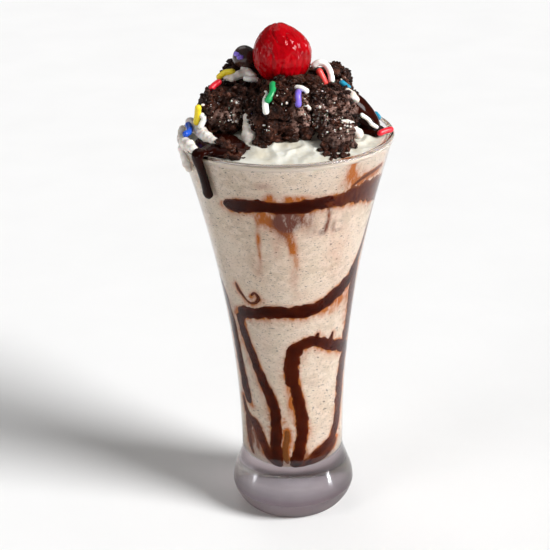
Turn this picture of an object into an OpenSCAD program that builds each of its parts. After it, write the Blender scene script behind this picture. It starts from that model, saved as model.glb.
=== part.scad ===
// Milkshake in a footed, flared glass, topped with whipped cream, broken brownie,
// chocolate sauce, a chocolate ball and a cherry.
// The origin is the middle of the ring that the foot rests on, and +Z is up.

/* [Glass] */
// Height of the glass from the table to the top of its rim
glass_h = 162; // [135:1:200]
// Outer diameter of the rim
rim_d = 84; // [70:1:102]
// Outer diameter of the narrow neck above the foot
neck_d = 42.2; // [35:0.1:51]
// Height of the neck above the table
neck_z = 26.4; // [22:0.1:32]
// How late the body flares, 1 is a plain cone
flare = 2.03; // [1.6:0.01:2.5]
// Thickness of the wall at the rim
rim_wall = 2.2; // [1.8:0.1:2.8]
// Thickness of the wall at the neck
neck_wall = 3; // [2.4:0.1:3.8]

/* [Foot] */
// Widest diameter of the foot
foot_d = 50.8; // [46:0.1:61]
// Height at which the foot is widest
foot_z = 9; // [7:0.1:11]
// Outer diameter of the ring that the foot rests on
rest_d = 39; // [36:0.1:44]
// Diameter of the hollow under the foot
punt_d = 32; // [24:0.5:34]
// Depth of the hollow under the foot
punt_h = 3; // [1:0.1:5]
// Thickness of solid glass between the table and the drink
floor_z = 19; // [14:0.5:21]
// Height of the round bottom of the drink, from its lowest point to the straight wall
bowl_h = 12; // [9:0.5:15]

/* [Drink and cream] */
// How far the drink stops below the top of the rim
drink_drop = 3; // [2.6:0.1:8]
// How far the cream stops below the top of the rim, at the wall
cream_drop = 1.2; // [1.1:0.1:1.8]
// How much lower the cream lies at the wall on its low side
cream_slump = 1.1; // [0:0.1:1.4]
// Rise of the cream from the wall to its middle
cream_h = 6.5; // [4:0.5:9]
// Height of the folds in the cream
fold_h = 0.7; // [0:0.1:1]

/* [Brownie] */
// Width of the largest chunk
chunk_w = 24; // [20:0.5:29]
// Height of the heap in its middle, above the rim
heap_h = 18.4; // [16:0.2:22]
// Height of the chunk at the back left, above the rim
ledge_h = 22.4; // [19:0.1:25]

/* [Toppings] */
// Diameter of the cherry
cherry_d = 22.4; // [18:0.1:27]
// Height of the peak on top of the cherry
cherry_peak = 1; // [0.5:0.1:2]
// Diameter of the chocolate ball
ball_d = 9.4; // [7:0.1:12]
// Thickness of the sauce pools in their middle
sauce_t = 2.2; // [1.5:0.1:3]
// Width of the drip that runs down outside the glass
drip_w = 3.8; // [3:0.1:5]
// Thickness of the drip
drip_t = 1.8; // [1.4:0.1:2.4]
// Length of the drip below the rim
drip_l = 17; // [12:0.5:24]

/* [Clearances] */
// Gap between pieces that rest against each other
seat_gap = 0.2; // [0.1:0.05:0.3]
// Gap between the uneven sides of the cream and the inside of the glass
wall_gap = 0.2; // [0.15:0.05:0.3]

/* [Hidden] */

rim_r = rim_d / 2;
neck_r = neck_d / 2;
foot_r = foot_d / 2;
rest_r = rest_d / 2;
cherry_r = cherry_d / 2;
ball_r = ball_d / 2;
body_h = glass_h - neck_z;
bowl_z = floor_z + bowl_h;
drink_z = glass_h - drink_drop;
full_turn = 360;

// ---- the glass's own lines ----

function share(z) = max(0, min(1, (z - neck_z) / body_h));
function outer_r(z) = neck_r + (rim_r - neck_r) * pow(share(z), flare);
function wall(z) = neck_wall + (rim_wall - neck_wall) * share(z);
function inner_r(z) = outer_r(z) - wall(z);
// how far the body leans out at a height, in degrees from upright
function lean(z) = atan(outer_r(z) - outer_r(z - 1));

body_steps = 18;
foot_steps = 8;
lip_steps = 8;
body_zs = [for (i = [0 : body_steps]) neck_z + body_h * i / body_steps];
lip_r = rim_wall / 2;
lip_z = glass_h - lip_r;
lip_mid = outer_r(lip_z) - lip_r;
// the foot's lower edge is a rounded bevel: an exponent over 1 flattens the quarter circle
bevel = 1.4;

rest_line = [for (i = [0 : foot_steps]) let (a = 90 * i / foot_steps)
    [rest_r + (foot_r - rest_r) * pow(sin(a), bevel), foot_z * (1 - pow(cos(a), bevel))]];
shoulder_line = [for (i = [1 : foot_steps]) let (a = 180 * i / foot_steps)
    [neck_r + (foot_r - neck_r) * (1 + cos(a)) / 2, foot_z + (neck_z - foot_z) * i / foot_steps]];
body_line = [for (i = [1 : body_steps - 1]) [outer_r(body_zs[i]), body_zs[i]]];
lip_line = [for (i = [0 : lip_steps]) let (a = 180 * i / lip_steps)
    [lip_mid + lip_r * cos(a), lip_z + lip_r * sin(a)]];
function bowl_line(steps) = [for (i = [0 : steps]) let (a = 90 * i / steps)
    [inner_r(bowl_z) * sin(a), bowl_z - bowl_h * cos(a)]];
inside_line = [for (z = body_zs) if (z > bowl_z + 1 && z < lip_z - 1) [inner_r(z), z]];
punt_line = [for (i = [0 : foot_steps]) let (a = 90 * i / foot_steps)
    [punt_d / 2 * sin(a), punt_h * cos(a)]];

function reversed(list) = [for (i = [len(list) - 1 : -1 : 0]) list[i]];

module glass() {
    color("gainsboro", 0.35)
        rotate_extrude($fn = 96)
            polygon(concat(punt_line, rest_line, shoulder_line, body_line, lip_line,
                           reversed(inside_line), reversed(bowl_line(foot_steps))));
}

// radius of the inside of the glass, taken along the same straight steps as its wall
hollow_line = concat(inside_line, [[lip_mid - lip_r, lip_z]]);
function hollow_r(z) = lookup(z, [for (p = hollow_line) [p.y, p.x]]);

module milkshake() {
    filled = [for (p = inside_line) if (p.y < drink_z - 1) p];
    color("antiquewhite")
        rotate_extrude($fn = 96)
            polygon(concat(bowl_line(foot_steps), filled, [[hollow_r(drink_z), drink_z], [0, drink_z]]));
}

// ---- surfaces that lie on each other ----

// the cream's low side faces the back right
slump_side = 50;
cream_round = 1.3;
function edge_z(a) = glass_h - cream_drop - cream_slump * pow(max(0, cos(a - slump_side)), 2);
function cream_r(a) = hollow_r(edge_z(a)) - wall_gap;
function folds(rho, a) =
    fold_h * rho * (1 - pow(rho, 6)) * sin(full_turn * rho + 3 * a) * sin(2 * a + 200 * rho);
function cream_z(rho, a) = edge_z(a) + cream_h * pow(max(0, 1 - rho * rho), cream_round) + folds(rho, a);

function dist(p) = norm([p.x, p.y]);
function turn(p) = atan2(p.y, p.x);
// angle from b to a, between -180 and 180
function apart(a, b) = let (d = (a - b) % full_turn) d > 180 ? d - full_turn : d < -180 ? d + full_turn : d;

// each pool: its middle and half sizes, as a distance from the axis and an angle about it
pool_left = [0.8, 219, 0.185, 27];
pool_right = [0.78, 14, 0.19, 20];
pool_edge = 0.3;
pool_skirt = 1.1;
function pool_at(rho, a, pool) = norm([(rho - pool[0]) / pool[2], apart(a, pool[1]) / pool[3]]);
function pool_t(share) = pool_edge + (sauce_t - pool_edge) * pow(max(0, 1 - share * share), 0.6);
function sauce_over(rho, a, pool) = let (s = pool_at(rho, a, pool)) s < pool_skirt ? pool_t(s) + seat_gap : 0;

// the lowest that a chunk may reach at a place: cream, sauce on it, or the top of the rim
over_rim = 0.97;
function ground(p) = let (a = turn(p), rho = dist(p) / cream_r(a))
    rho > over_rim ? glass_h + seat_gap
                   : cream_z(rho, a) + max(sauce_over(rho, a, pool_left), sauce_over(rho, a, pool_right));

// A round sheet with a middle point, rings of points round it, and an upper and a lower side
module sheet(upper_mid, upper, lower_mid, lower) {
    rings = len(upper);
    n = len(upper[0]);
    lower_start = 1 + rings * n;
    function at(ring, i) = 1 + ring * n + i % n;
    points = concat([upper_mid], [for (ring = upper) for (p = ring) p],
                    [lower_mid], [for (ring = lower) for (p = ring) p]);
    faces = concat(
        [for (i = [0 : n - 1]) [0, at(0, i + 1), at(0, i)]],
        [for (k = [0 : rings - 2]) for (i = [0 : n - 1]) for (t = [0, 1])
            t == 0 ? [at(k, i), at(k, i + 1), at(k + 1, i + 1)] : [at(k, i), at(k + 1, i + 1), at(k + 1, i)]],
        [for (i = [0 : n - 1]) for (t = [0, 1])
            t == 0 ? [at(rings - 1, i), at(rings - 1, i + 1), lower_start + at(rings - 1, i + 1)]
                   : [at(rings - 1, i), lower_start + at(rings - 1, i + 1), lower_start + at(rings - 1, i)]],
        [for (k = [0 : rings - 2]) for (i = [0 : n - 1]) for (t = [0, 1])
            t == 0 ? [lower_start + at(k, i), lower_start + at(k + 1, i + 1), lower_start + at(k, i + 1)]
                   : [lower_start + at(k, i), lower_start + at(k + 1, i), lower_start + at(k + 1, i + 1)]],
        [for (i = [0 : n - 1]) [lower_start, lower_start + at(0, i), lower_start + at(0, i + 1)]]);
    polyhedron(points, faces);
}

function ring_of(n) = [for (i = [0 : n - 1]) full_turn * i / n];

module whipped_cream() {
    rings = 12;
    turns = ring_of(40);
    low_r = hollow_r(drink_z) - wall_gap;
    color("ivory")
        sheet([0, 0, cream_z(0, 0)],
              [for (k = [1 : rings]) [for (a = turns) let (rho = k / rings, r = cream_r(a) * rho)
                  [r * cos(a), r * sin(a), cream_z(rho, a)]]],
              [0, 0, drink_z],
              [for (k = [1 : rings]) [for (a = turns) let (r = low_r * k / rings)
                  [r * cos(a), r * sin(a), drink_z]]]);
}

// ---- chocolate sauce ----

module pool(shape) {
    rings = 5;
    turns = ring_of(20);
    function spot(share, b, up) = let (rho = shape[0] + shape[2] * share * cos(b),
                                       a = shape[1] + shape[3] * share * sin(b), r = cream_r(a) * rho)
        [r * cos(a), r * sin(a), cream_z(rho, a) + seat_gap / 2 + up * pool_t(share)];
    sheet(spot(0, 0, 1), [for (k = [1 : rings]) [for (b = turns) spot(k / rings, b, 1)]],
          spot(0, 0, 0), [for (k = [1 : rings]) [for (b = turns) spot(k / rings, b, 0)]]);
}

// the drip's route: in from the pool, over the lip and down the outside, as [radius, height]
drip_off = drip_t / 2 + seat_gap / 2;
drip_side = 216;
drip_start = 0.86;
drip_bulge = 1.12;
lip_turns = [130, 90, 50, 10];
drip_zs = [for (i = [1 : 6]) lip_z - drip_l * i / 6];
drip_route = concat(
    [[cream_r(drip_side) * drip_start, glass_h + drip_off]],
    [for (a = lip_turns) [lip_mid + (lip_r + drip_off) * cos(a), lip_z + (lip_r + drip_off) * sin(a)]],
    [for (z = drip_zs) [outer_r(z) + drip_off / cos(lean(z)), z]]);

module drip() {
    function swell(i) = i == len(drip_route) - 1 ? drip_bulge : 1;
    module bead(i) {
        p = drip_route[i];
        rotate([0, 0, drip_side]) translate([p.x, 0, p.y]) rotate([0, lean(p.y), 0])
            scale([drip_t, drip_w, drip_t] * swell(i)) sphere(d = 1, $fn = 12);
    }
    for (i = [0 : len(drip_route) - 2]) hull() {
        bead(i);
        bead(i + 1);
    }
}

module sauce_left() {
    color("saddlebrown") {
        pool(pool_left);
        drip();
    }
}

module sauce_right() {
    color("saddlebrown") pool(pool_right);
}

// ---- brownie ----

// where the cherry and the ball sit, because the chunks make room for them
cherry_at = [-0.6, 0, glass_h + heap_h + seat_gap + cherry_r];
ball_z = glass_h + ledge_h + seat_gap + ball_r;
ball_side = 154;
ball_reach = sqrt(pow(cherry_r + ball_r + seat_gap, 2) - pow(cherry_at.z - ball_z, 2));
ball_at = [cherry_at.x + ball_reach * cos(ball_side), cherry_at.y + ball_reach * sin(ball_side), ball_z];
spread = rim_r - rim_wall;

ledge_low = ledge_h - 9;
middle_low = heap_h - 7;
// each chunk: place across the rim as a share of its radius, height of its middle above the rim,
// half sizes as a share of the largest chunk's half width, turns about X, Y and Z, and a seed
chunks = [
    ["brownie_left",      [-0.60, -0.03],  8, [1.00, 0.95, 0.86], [0, -8, 15], 1],
    ["brownie_front",     [-0.05, -0.34], 10, [0.88, 0.78, 1.00], [0, 16, 30], 2],
    ["brownie_right",     [0.38, -0.14],  10, [1.04, 0.98, 0.84], [6, 10, -20], 3],
    ["brownie_top_right", [0.50, 0.22],   14, [0.66, 0.70, 0.72], [0, 20, 40], 4],
    ["brownie_crumb",     [0.49, -0.52],   4, [0.56, 0.50, 0.50], [20, 0, 10], 5],
    ["brownie_back",      [0.02, 0.42],   10, [1.10, 0.90, 0.95], [-8, 0, 5], 6],
    ["brownie_ledge",     [ball_at.x, ball_at.y + 4] / spread, ledge_low, [0.84, 0.84, 0.95], [0, 0, 25], 7],
    ["brownie_middle",    [cherry_at.x / spread, 0], middle_low, [0.90, 0.84, 0.80], [0, 0, 0], 8]];

function middle(c) = [c[1].x * spread, c[1].y * spread, glass_h + c[2]];
function mean_r(c) = chunk_w / 2 * (c[3].x + c[3].y + c[3].z) / 3;

// rotation of a vector about X, then Y, then Z
function turned(v, t) = let (
    a = [v.x, v.y * cos(t.x) - v.z * sin(t.x), v.y * sin(t.x) + v.z * cos(t.x)],
    b = [a.x * cos(t.y) + a.z * sin(t.y), a.y, a.z * cos(t.y) - a.x * sin(t.y)])
    [b.x * cos(t.z) - b.y * sin(t.z), b.x * sin(t.z) + b.y * cos(t.z), b.z];

// a boxy lump: the exponent sets how square it is, and the waves make it uneven
squareness = 3.2;
unevenness = 0.07;
function waves(d, s) = sin(250 * d.x + 70 * s) * sin(310 * d.y + 40 * s)
    + 0.6 * sin(420 * d.z + 190 * d.x + 90 * s);
function part_of(d, size) = pow(abs(d) / size, squareness);
function lump_r(d, size, seed) = (1 + unevenness * waves(d, seed)) *
    pow(part_of(d.x, size.x) + part_of(d.y, size.y) + part_of(d.z, size.z), -1 / squareness);

// the flat sides where a chunk meets its neighbours, as [direction, distance from its middle]
function sides(c) = concat(
    [for (o = chunks) if (o[5] != c[5]) let (v = middle(o) - middle(c), d = norm(v))
        [v / d, (d * d + pow(mean_r(c), 2) - pow(mean_r(o), 2)) / (2 * d) - seat_gap / 2]],
    [for (b = [[cherry_at, cherry_r], [ball_at, ball_r]]) let (v = b[0] - middle(c), d = norm(v))
        [v / d, d - b[1] - seat_gap]]);

// half the least thickness that a chunk keeps where the ground lifts its lower side
thin_edge = 0.3;
function lifted(p, d) = [p.x, p.y, max(p.z, ground(p) + seat_gap + thin_edge * (1 + d.z))];
function trimmed(p, m, planes) =
    let (v = p - m, shares = [for (k = planes) if (k[0] * v > k[1]) k[1] / (k[0] * v)])
    m + v * min(concat([1], shares));

module chunk(c) {
    rings = 11;
    n = 20;
    m = middle(c);
    planes = sides(c);
    size = c[3] * chunk_w / 2;
    function lump(d) = m + turned(d * lump_r(d, size, c[5]), c[4]);
    function skin(d) = lifted(trimmed(lifted(lump(d), d), m, planes), d);
    points = concat([skin([0, 0, 1])],
        [for (k = [1 : rings]) for (a = ring_of(n)) let (up = 90 - 180 * k / (rings + 1))
            skin([cos(up) * cos(a), cos(up) * sin(a), sin(up)])],
        [skin([0, 0, -1])]);
    last = len(points) - 1;
    function at(k, i) = 1 + (k - 1) * n + i % n;
    faces = concat(
        [for (i = [0 : n - 1]) [0, at(1, i + 1), at(1, i)]],
        [for (k = [1 : rings - 1]) for (i = [0 : n - 1]) for (t = [0, 1])
            t == 0 ? [at(k, i), at(k, i + 1), at(k + 1, i + 1)] : [at(k, i), at(k + 1, i + 1), at(k + 1, i)]],
        [for (i = [0 : n - 1]) [last, at(rings, i), at(rings, i + 1)]]);
    color([0.24, 0.13, 0.1]) polyhedron(points, faces);
}

// ---- cherry and ball ----

cherry_steps = 18;
cherry_tilt = -8;
// a ball with a low peak on top
cherry_line = [for (i = [0 : cherry_steps]) let (a = 180 * i / cherry_steps - 90)
    [i % cherry_steps == 0 ? 0 : cherry_r * cos(a),
     cherry_r * sin(a) + cherry_peak * pow(max(0, sin(a)), 4)]];

module cherry() {
    color([0.78, 0.02, 0.05])
        translate(cherry_at) rotate([0, cherry_tilt, 0])
            rotate_extrude($fn = 96) polygon(cherry_line);
}

module chocolate_ball() {
    color([0.2, 0.1, 0.08])
        translate(ball_at) sphere(d = ball_d, $fn = 48);
}

glass();
milkshake();
whipped_cream();
sauce_left();
sauce_right();
for (c = chunks) chunk(c);
cherry();
chocolate_ball();
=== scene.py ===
import math
import random

import bmesh
import bpy
import numpy as np
from mathutils import Matrix, Vector, noise
from mathutils.bvhtree import BVHTree
from mathutils.kdtree import KDTree


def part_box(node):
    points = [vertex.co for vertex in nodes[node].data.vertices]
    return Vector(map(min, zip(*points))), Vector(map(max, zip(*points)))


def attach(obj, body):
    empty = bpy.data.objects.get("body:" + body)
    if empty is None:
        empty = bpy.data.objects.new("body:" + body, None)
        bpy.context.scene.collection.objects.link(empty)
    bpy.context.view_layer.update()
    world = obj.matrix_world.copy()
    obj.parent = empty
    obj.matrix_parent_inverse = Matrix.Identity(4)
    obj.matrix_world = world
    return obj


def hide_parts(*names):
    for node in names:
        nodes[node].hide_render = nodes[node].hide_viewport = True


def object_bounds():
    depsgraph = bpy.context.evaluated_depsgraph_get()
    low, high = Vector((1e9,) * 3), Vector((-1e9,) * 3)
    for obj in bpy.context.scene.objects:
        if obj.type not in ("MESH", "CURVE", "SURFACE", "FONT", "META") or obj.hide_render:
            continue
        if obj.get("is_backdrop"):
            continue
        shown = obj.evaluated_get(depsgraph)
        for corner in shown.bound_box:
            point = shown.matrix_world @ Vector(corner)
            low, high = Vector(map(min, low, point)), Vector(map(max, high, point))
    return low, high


# A milkshake in a footed, flared glass, with whipped cream, broken brownie, chocolate
# sauce, sprinkles, a chocolate ball and a cherry. The sizes of its parts are in millimetres.
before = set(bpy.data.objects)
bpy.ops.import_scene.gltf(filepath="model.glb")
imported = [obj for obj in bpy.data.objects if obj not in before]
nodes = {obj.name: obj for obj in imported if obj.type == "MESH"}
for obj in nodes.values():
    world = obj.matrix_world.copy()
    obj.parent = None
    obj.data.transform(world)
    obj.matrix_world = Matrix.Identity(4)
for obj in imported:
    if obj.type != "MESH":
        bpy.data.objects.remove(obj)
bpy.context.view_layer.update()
scene = bpy.context.scene

# ---- the table, the light and the camera ----

# A white table top under even, soft light. The main light comes from the front right, so
# the left side of the glass lies in shade. Two low lights shine into its foot.
room = bpy.data.worlds.new("room")
scene.world = room
room.use_nodes = True
room.node_tree.nodes["Background"].inputs["Color"].default_value = (1.0, 0.98, 0.96, 1)
room.node_tree.nodes["Background"].inputs["Strength"].default_value = 0.15
scene.view_settings.view_transform = "Standard"


def add(finish, kind, values=None, **settings):
    """A new node in a finish, with its own settings and its sockets' values."""
    made = finish.node_tree.nodes.new(kind)
    for name, value in settings.items():
        setattr(made, name, value)
    for socket, value in (values or {}).items():
        made.inputs[socket].default_value = value
    return made


def join(finish, output, socket):
    """Leads one node's output to another's socket."""
    finish.node_tree.links.new(output, socket)


def new_finish(name, values):
    """A material with one shader, whose even values are set on the shader itself."""
    finish = bpy.data.materials.new(name)
    finish.use_nodes = True
    shader = finish.node_tree.nodes["Principled BSDF"]
    for socket, value in values.items():
        shader.inputs[socket].default_value = value
    return finish, shader


def grain(finish, size, detail=3.0, rough=0.5, stretch=(1, 1, 1)):
    """Noise whose lumps are about size millimetres across. Returns its value."""
    place = add(finish, "ShaderNodeTexCoord")
    spread = add(finish, "ShaderNodeMapping", {"Scale": stretch})
    made = add(finish, "ShaderNodeTexNoise",
               {"Scale": 1000 / size, "Detail": detail, "Roughness": rough})
    join(finish, place.outputs["Object"], spread.inputs["Vector"])
    join(finish, spread.outputs["Vector"], made.inputs["Vector"])
    return made.outputs["Fac"]


def shades(finish, value, stops):
    """A run of colours, as [share, colour], read at a value."""
    ramp = add(finish, "ShaderNodeValToRGB")
    marks = ramp.color_ramp.elements
    while len(marks) < len(stops):
        marks.new(0.5)
    for mark, (share_of, colour) in zip(marks, stops):
        mark.position = share_of
        mark.color = (*colour, 1)
    join(finish, value, ramp.inputs["Fac"])
    return ramp.outputs["Color"]


def paint(finish, shader, value, stops):
    """Gives the shader a run of colours, read at a value."""
    join(finish, shades(finish, value, stops), shader.inputs["Base Color"])


table_finish, table_shader = new_finish("white_table", {"Roughness": 0.9, "IOR": 1.3})
paint(table_finish, table_shader, grain(table_finish, 60),
      [(0.3, (0.86, 0.86, 0.86)), (0.7, (0.88, 0.88, 0.88))])

bpy.ops.mesh.primitive_plane_add(size=8, location=(0, 0, 0))
table = bpy.context.object
table.name = "table_top"
table.data.materials.append(table_finish)
table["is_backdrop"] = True


def soft_sun(name, towards, strength, spread):
    """Even light from a wide disc in the direction given, with spread in degrees."""
    lamp = bpy.data.lights.new(name, "SUN")
    lamp.energy = strength
    lamp.angle = math.radians(spread)
    holder = bpy.data.objects.new(name, lamp)
    holder.rotation_euler = Vector(towards).to_track_quat("Z", "Y").to_euler()
    scene.collection.objects.link(holder)


soft_sun("main_light", (0.76, -0.38, 0.53), 4.8, 24)
soft_sun("low_right_light", (0.95, -0.28, 0.05), 0.5, 6)
soft_sun("low_left_light", (-0.98, -0.16, 0.06), 0.4, 6)
soft_sun("side_light", (-0.74, -0.48, 0.5), 0.45, 24)
soft_sun("back_light", (-0.2, 0.6, 0.8), 0.30, 40)

CAMERA_AT = (0, -0.5, 0.318)
CAMERA_TURN = 0.011
CAMERA_DOWN = 0.408
CAMERA_ROLL = -0.027
lens = bpy.data.cameras.new("camera")
lens.lens = 88.9
lens.sensor_width = 36
camera = bpy.data.objects.new("camera", lens)
aim = Matrix.Rotation(CAMERA_TURN, 4, "Z") @ Matrix.Rotation(math.pi / 2 - CAMERA_DOWN, 4, "X")
camera.matrix_world = Matrix.Translation(CAMERA_AT) @ aim @ Matrix.Rotation(CAMERA_ROLL, 4, "Z")
scene.collection.objects.link(camera)
scene.camera = camera

# ---- the glass ----

# A heavy pressed soda glass: a flared bowl on a solid round foot with a shallow hollow under it. The lip is
# fire-polished round. The hollow is ground, which greys the foot; the rest of the foot's grey is painted
# shade, and the lip and the bowl's edges carry a painted dark edge.
GLASS_H = 162.0
NECK_Z = 26.4
NECK_R = 21.1
FLARE = 20.9
NECK_WALL = 3
WALL_THINS = 0.8
BOWL_Z = 31
BOWL_DEEP = 12
FOOT_WIDEST_Z = 9
FOOT_BASE_R = 19.5
FOOT_SWELL = 5.9
PUNT_R = 16
PUNT_DEEP = 3
LIP_R = 1.1


def up_the_bowl(z):
    """The share of the way from the neck to the rim."""
    return min(max((z - NECK_Z) / (GLASS_H - NECK_Z), 0), 1)


def outer_r(z):
    """Radius of the outside of the bowl at a height."""
    return NECK_R + FLARE * up_the_bowl(z) ** 2.03


def inner_r(z):
    """Radius of the inside. The wall is thickest at the neck."""
    return outer_r(z) - NECK_WALL + WALL_THINS * up_the_bowl(z)


def turned(line, steps):
    """A closed form, turned from a [radius, height] line that starts and ends on the axis."""
    angles = [math.tau * i / steps for i in range(steps)]
    points = [(0, 0, line[0][1])]
    for r, z in line[1:-1]:
        points += [(r * math.cos(a), r * math.sin(a), z) for a in angles]
    points.append((0, 0, line[-1][1]))
    faces = []
    for i in range(steps):
        j = (i + 1) % steps
        faces.append((0, 1 + j, 1 + i))
        for k in range(len(line) - 3):
            low = 1 + k * steps
            faces.append((low + i, low + j, low + steps + j, low + steps + i))
        last = 1 + (len(line) - 3) * steps
        faces.append((last + i, last + j, len(points) - 1))
    return points, faces


def piece(name, points, faces, finishes):
    """A smooth piece made of points in millimetres, which rides on the object."""
    mesh = bpy.data.meshes.new(name)
    mesh.from_pydata((np.asarray(points, float) / 1000).tolist(), [], faces)
    for finish in finishes:
        mesh.materials.append(finish)
    mesh.shade_smooth()
    made = bpy.data.objects.new(name, mesh)
    scene.collection.objects.link(made)
    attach(made, "root")
    return made


def quarter(steps):
    """Angles from 0 to a quarter turn."""
    return [math.pi / 2 * i / steps for i in range(steps + 1)]


def blended(finish, amount, first, second):
    """The first colour where amount is 0 and the second where it is 1."""
    mix = add(finish, "ShaderNodeMix", data_type="RGBA")
    for value, socket in ((amount, 0), (first, 6), (second, 7)):
        if isinstance(value, tuple):
            mix.inputs[socket].default_value = (*value, 1)
        else:
            join(finish, value, mix.inputs[socket])
    return mix.outputs[2]


# the bowl, whose glass gets painted shade where it is seen edge on, in place of the dark surroundings seen
# through the edge
bowl_finish, bowl_shader = new_finish("clear_glass_bowl", {
    "Transmission Weight": 1.0, "IOR": 1.42, "Roughness": 0.0, "Specular Tint": (0.06, 0.06, 0.06, 1)})
bowl_colour = shades(bowl_finish, grain(bowl_finish, 40),
                     [(0.3, (0.965, 0.96, 0.965)), (0.7, (0.98, 0.975, 0.98))])
grazing = add(bowl_finish, "ShaderNodeLayerWeight", {"Blend": 0.5})
painted_edge_shade = shades(bowl_finish, grazing.outputs["Facing"], [(0.80, (0, 0, 0)), (0.92, (1, 1, 1))])
bowl_colour_with_painted_edge_shade = blended(bowl_finish, painted_edge_shade, bowl_colour, (0.34, 0.29, 0.31))
join(bowl_finish, bowl_colour_with_painted_edge_shade, bowl_shader.inputs["Base Color"])

# the foot, whose colour is painted shade, darkest at the bottom, with a painted bright band round its
# swell, and whose haze goes by height
foot_finish, foot_shader = new_finish("glass_foot_painted_shade", {
    "Transmission Weight": 1.0, "IOR": 1.5, "Specular Tint": (0.9, 0.9, 0.95, 1)})
foot_place = add(foot_finish, "ShaderNodeTexCoord")
foot_height = add(foot_finish, "ShaderNodeSeparateXYZ")
join(foot_finish, foot_place.outputs["Object"], foot_height.inputs["Vector"])
foot_share = add(foot_finish, "ShaderNodeMapRange", {"From Min": 0.0, "From Max": 0.034})
join(foot_finish, foot_height.outputs["Z"], foot_share.inputs["Value"])
paint(foot_finish, foot_shader, foot_share.outputs["Result"], [
    (0.0, (0.10, 0.055, 0.055)), (0.12, (0.18, 0.125, 0.13)), (0.30, (0.21, 0.16, 0.175)),
    (0.38, (0.42, 0.38, 0.42)), (0.47, (1.0, 1.0, 1.0)), (0.56, (0.72, 0.70, 0.75)),
    (0.66, (0.46, 0.42, 0.46)), (0.85, (0.95, 0.94, 0.95))])
hazes = [(share_of, (haze, haze, haze)) for share_of, haze in ((0, 0.6), (0.15, 0.35), (0.42, 0.16),
                                                               (1, 0.02))]
foot_haze = shades(foot_finish, foot_share.outputs["Result"], hazes)
join(foot_finish, foot_haze, foot_shader.inputs["Roughness"])

# the ground hollow under the foot, and the lip, whose dark grey colour is a painted dark edge line
ground_finish, ground_shader = new_finish("ground_underside", {"Roughness": 0.8, "IOR": 1.4})
paint(ground_finish, ground_shader, grain(ground_finish, 6),
      [(0.3, (0.60, 0.57, 0.61)), (0.7, (0.74, 0.71, 0.75))])
lip_painted_edge_finish, lip_painted_edge_shader = new_finish("polished_lip_painted_dark_edge", {
    "Transmission Weight": 1.0, "IOR": 1.45, "Roughness": 0.0, "Specular Tint": (0.3, 0.3, 0.3, 1)})
paint(lip_painted_edge_finish, lip_painted_edge_shader, grain(lip_painted_edge_finish, 20), [(0.3, (0.38, 0.35, 0.36)), (0.7, (0.50, 0.47, 0.48))])

# the glass's line, from the middle of the hollow out, up the outside, over the lip and down
punt_line = [(PUNT_R * math.sin(a), PUNT_DEEP * math.cos(a)) for a in quarter(10)]
bevel_line = [(FOOT_BASE_R + FOOT_SWELL * math.sin(a) ** 1.4, FOOT_WIDEST_Z * (1 - math.cos(a) ** 1.4))
              for a in quarter(16)[:-1]]
SHOULDER_DEEP = (FOOT_BASE_R + FOOT_SWELL - NECK_R) / 2
SHOULDER_STEPS = 20
shoulder_line = [(NECK_R + SHOULDER_DEEP * (1 + math.cos(math.pi * i / SHOULDER_STEPS)),
                  FOOT_WIDEST_Z + (NECK_Z - FOOT_WIDEST_Z) * i / SHOULDER_STEPS)
                 for i in range(SHOULDER_STEPS + 1)]
outside_line = [(outer_r(z), z) for z in np.arange(28, 160, 2.0)]
LIP_Z = GLASS_H - LIP_R
LIP_MID = outer_r(LIP_Z) - LIP_R
lip_turn = [math.pi * i / 16 for i in range(17)]
lip_line = [(LIP_MID + LIP_R * math.cos(a), LIP_Z + LIP_R * math.sin(a)) for a in lip_turn]
inside_line = [(inner_r(z), z) for z in np.arange(BOWL_Z + 1, 160, 2.0)]
bowl_line = [(inner_r(BOWL_Z) * math.sin(a), BOWL_Z - BOWL_DEEP * math.cos(a)) for a in quarter(16)]
glass_line = punt_line + bevel_line + shoulder_line + outside_line + lip_line
glass_line += inside_line[::-1] + bowl_line[::-1]
points, faces = turned(glass_line, 192)
glass = piece("footed_glass", points, faces, [bowl_finish, foot_finish, ground_finish, lip_painted_edge_finish])
FOOT_PART = 1
GROUND_PART = 2
LIP_PART = 3
for face in glass.data.polygons:
    z = 1000 * face.center.z
    out = 1000 * math.hypot(face.center.x, face.center.y)
    if z < PUNT_DEEP + 0.1 and out < PUNT_R + 0.5:
        face.material_index = GROUND_PART
    elif z < NECK_Z + 1.6 and out > NECK_R - 2.6:
        face.material_index = FOOT_PART
    elif z > GLASS_H - 0.8:
        face.material_index = LIP_PART
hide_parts("glass")

# ---- the milkshake ----

# Cookies-and-cream milkshake, thick and beige, with fine dark crumbs all through it. It
# reaches a little into the wall, so that no air shows between drink and glass.
DRINK_Z = 159.2
SINK = 0.3
drink_bowl = [((inner_r(BOWL_Z) + SINK) * math.sin(a), BOWL_Z - (BOWL_DEEP + SINK) * math.cos(a))
              for a in quarter(24)]
drink_side = [(inner_r(z) + SINK, z) for z in np.arange(BOWL_Z + 0.8, DRINK_Z - 0.5, 0.8)]
DRINK_R = inner_r(DRINK_Z)
drink_top = [(DRINK_R + SINK, DRINK_Z), (DRINK_R - 0.4, DRINK_Z), (DRINK_R - 5, DRINK_Z), (0, DRINK_Z)]
drink_line = drink_bowl + drink_side + drink_top
points, faces = turned(drink_line, 500)
drink_finish, drink_shader = new_finish("cookie_milkshake", {
    "Roughness": 0.6, "IOR": 1.35, "Subsurface Weight": 0.25, "Subsurface Scale": 0.002,
    "Subsurface Radius": (1.0, 0.6, 0.4), "Specular IOR Level": 0.1})
swirls = shades(drink_finish, grain(drink_finish, 16, detail=2, stretch=(1, 1, 1.5)),
                [(0.35, (0.79, 0.66, 0.52)), (0.65, (0.91, 0.78, 0.64))])
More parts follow.
